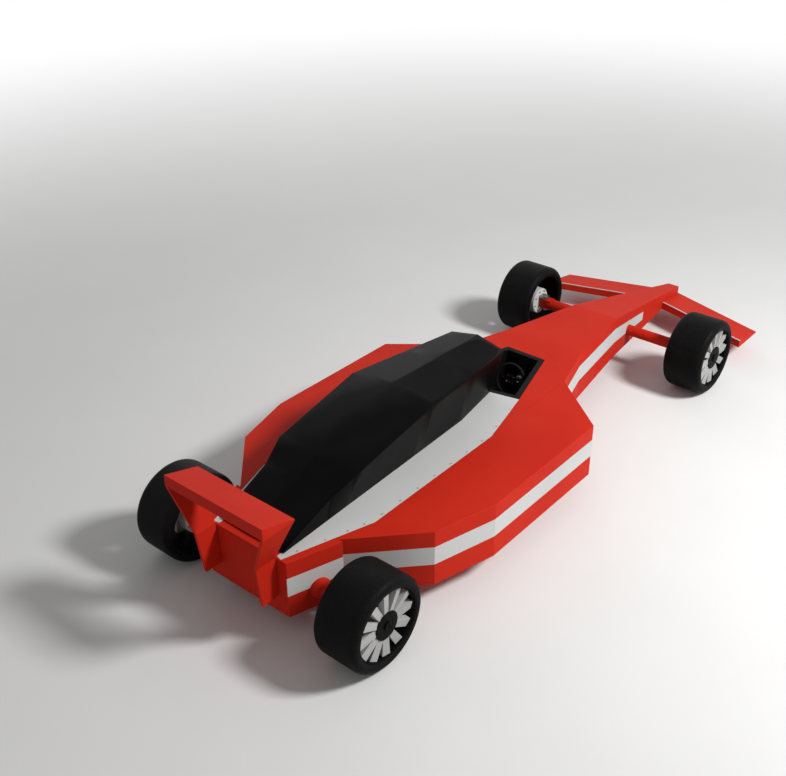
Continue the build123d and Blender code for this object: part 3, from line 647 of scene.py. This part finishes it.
DOWN_WAY, BACK_WAY, BUCKLE_X = (0, 0, -1), (-0.75, 0, -0.66), -74
for hand, side in (("left", 1), ("right", -1)):
    strap(f"shoulder_strap_{hand}", [(-207, side * 52, 436), (-150, side * 36, 330), (-84, side * 12, 300)],
          BACK_WAY, 22.0)
    strap(f"lap_strap_{hand}", [(-112, side * 134, 300), (BUCKLE_X, side * 14, 300)], DOWN_WAY, 20.0)
strap("crotch_strap", [(30, 0, 310), (-62, 0, 300)], DOWN_WAY, 18.0)
seat_top = lay((BUCKLE_X, 0, 300), DOWN_WAY).z / MM
verts, faces = lathe([(0.01, 14.0), (9.0, 14.0), (10.0, 12.5), (22.0, 12.5), (25.0, 10.0),
                      (25.0, 2.0), (0.01, 2.0)], 40, closed=False)
make("harness_buckle", [(x + BUCKLE_X, y, z + seat_top) for x, y, z in verts], faces, STEEL,
     "chassis", 30.0)

# ---------------------------------------------------------------- air inlet
# Frame and upright vanes on the cover's front face
COVER_FRONT_X, FRAME_PROUD, VANE_PROUD, VANE_HALF = -286.0, 12.0, 8.0, 1.5
frame_out = [(-132, 712), (132, 712), (164, 836), (-164, 836)]
frame_in = [(-118, 722), (118, 722), (148, 826), (-148, 826)]
verts = [(COVER_FRONT_X + proud, y, z) for proud in (0.0, FRAME_PROUD)
         for outline in (frame_out, frame_in) for y, z in outline]
faces = []
for i in range(4):
    j = (i + 1) % 4
    faces += [(i, j, 4 + j, 4 + i), (8 + i, 8 + j, 12 + j, 12 + i),
              (i, j, 8 + j, 8 + i), (4 + i, 4 + j, 12 + j, 12 + i)]
make("inlet_frame", verts, faces, COVER, "chassis", 25.0, bevel=(2.0, 2))
verts, faces = [], []
for k in range(-4, 5):
    base = len(verts)
    foot, head = k * 24.0, k * 30.0
    for z, y in ((718.0, foot), (830.0, head)):
        verts += [(COVER_FRONT_X, y - VANE_HALF, z), (COVER_FRONT_X, y + VANE_HALF, z),
                  (COVER_FRONT_X + VANE_PROUD, y + VANE_HALF, z),
                  (COVER_FRONT_X + VANE_PROUD, y - VANE_HALF, z)]
    faces += [tuple(base + corner for corner in face) for face in
              ((0, 1, 2, 3), (4, 5, 6, 7), (0, 1, 5, 4), (1, 2, 6, 5), (2, 3, 7, 6), (3, 0, 4, 7))]
make("inlet_vanes", verts, faces, DARK_STEEL, "chassis", 25.0)

# ---------------------------------------------------------------- floor, light, camera
FLOOR_RADIUS, FADE_START, FADE_END = 60.0, 3.0, 13.0
AMBIENT, BACKDROP = 0.29, 1.0
floor_mesh = bpy.data.meshes.new("floor")
bm = bmesh.new()
bmesh.ops.create_circle(bm, cap_ends=True, segments=96, radius=FLOOR_RADIUS)
bm.to_mesh(floor_mesh)
bm.free()
floor = bpy.data.objects.new("floor", floor_mesh)
SCENE.collection.objects.link(floor)
floor.location.z = -0.0005
fg = Graph("floor_pale")
mottle = fg.ramp(fg.noise(1.3), "Fac", [(0.3, 0.0), (0.7, 1.0)])
fg.link(fg.mix((0.80, 0.80, 0.79), (0.78, 0.78, 0.77), mottle), 2, fg.shader, "Base Color")
fg.set(Roughness=0.9, Specular_IOR_Level=0.1)
far = fg.add("ShaderNodeVectorMath", operation="LENGTH")
fg.link(fg.coords, "Object", far, 0)
fade = fg.add("ShaderNodeMapRange", interpolation_type="SMOOTHSTEP")
fade.inputs["From Min"].default_value = FADE_START
fade.inputs["From Max"].default_value = FADE_END
fg.link(far, "Value", fade, "Value")
rays = fg.add("ShaderNodeLightPath")
seen_by = fg.add("ShaderNodeMath", operation="MAXIMUM")
fg.link(rays, "Is Camera Ray", seen_by, 0)
fg.link(rays, "Is Glossy Ray", seen_by, 1)
glow = fg.add("ShaderNodeEmission")
blend = fg.add("ShaderNodeMixShader")
fg.link(fg.times(fade, seen_by, "Result", "Value"), "Value", blend, 0)
fg.link(fg.shader, "BSDF", blend, 1)
fg.link(glow, "Emission", blend, 2)
fg.link(blend, "Shader", fg.output, "Surface")
floor_mesh.materials.append(fg.material)

world = bpy.data.worlds.new("studio")
SCENE.world = world
world.use_nodes = True
tree = world.node_tree
tree.nodes.clear()
out = tree.nodes.new("ShaderNodeOutputWorld")
mixer = tree.nodes.new("ShaderNodeMixShader")
ambient, backdrop = (tree.nodes.new("ShaderNodeBackground") for _ in range(2))
for background, strength in ((ambient, AMBIENT), (backdrop, BACKDROP)):
    background.inputs["Color"].default_value = (1, 1, 1, 1)
    background.inputs["Strength"].default_value = strength
path = tree.nodes.new("ShaderNodeLightPath")
seen = None
for ray in ("Is Camera Ray", "Is Glossy Ray", "Is Transmission Ray"):
    if seen is None:
        seen = path.outputs[ray]
        continue
    either = tree.nodes.new("ShaderNodeMath")
    either.operation = "MAXIMUM"
    tree.links.new(seen, either.inputs[0])
    tree.links.new(path.outputs[ray], either.inputs[1])
    seen = either.outputs[0]
tree.links.new(seen, mixer.inputs[0])
tree.links.new(ambient.outputs[0], mixer.inputs[1])
tree.links.new(backdrop.outputs[0], mixer.inputs[2])
tree.links.new(mixer.outputs[0], out.inputs["Surface"])


def lamp(name, place, energy, size):
    """Round area lamp that points at the car's middle."""
    data = bpy.data.lights.new(name, "AREA")
    data.shape, data.size, data.energy = "DISK", size, energy
    obj = bpy.data.objects.new(name, data)
    obj.location = place
    obj.rotation_euler = (-Vector(place)).to_track_quat("-Z", "Y").to_euler()
    SCENE.collection.objects.link(obj)


lamp("key", (1.5, -5.6, 6.2), 640.0, 1.8)
lamp("fill", (5.0, 6.5, 5.0), 70.0, 5.0)

# Camera solved from the photograph: angles in radians, place in metres, focal length in pixels
AZIMUTH, DOWN, ROLL = 0.69977, 0.53470, -0.007431
CAMERA_AT, FOCAL_PIXELS, PHOTO_WIDTH, SENSOR = (-5.2084, -3.4467, 4.0517), 1077.96, 786.0, 36.0
look = Vector((math.cos(DOWN) * math.cos(AZIMUTH), math.cos(DOWN) * math.sin(AZIMUTH), -math.sin(DOWN)))
right = look.cross(Vector((0, 0, 1))).normalized()
up = right.cross(look)
cam_x = right * math.cos(ROLL) + up * math.sin(ROLL)
cam_y = up * math.cos(ROLL) - right * math.sin(ROLL)
camera_data = bpy.data.cameras.new("camera")
camera_data.sensor_fit = "HORIZONTAL"
camera_data.sensor_width = SENSOR
camera_data.lens = FOCAL_PIXELS / PHOTO_WIDTH * SENSOR
camera = bpy.data.objects.new("camera", camera_data)
camera.matrix_world = (Matrix.Translation(CAMERA_AT)
                       @ Matrix((cam_x, cam_y, -look)).transposed().to_4x4())
SCENE.collection.objects.link(camera)
SCENE.camera = camera
SCENE.view_settings.view_transform = "Standard"
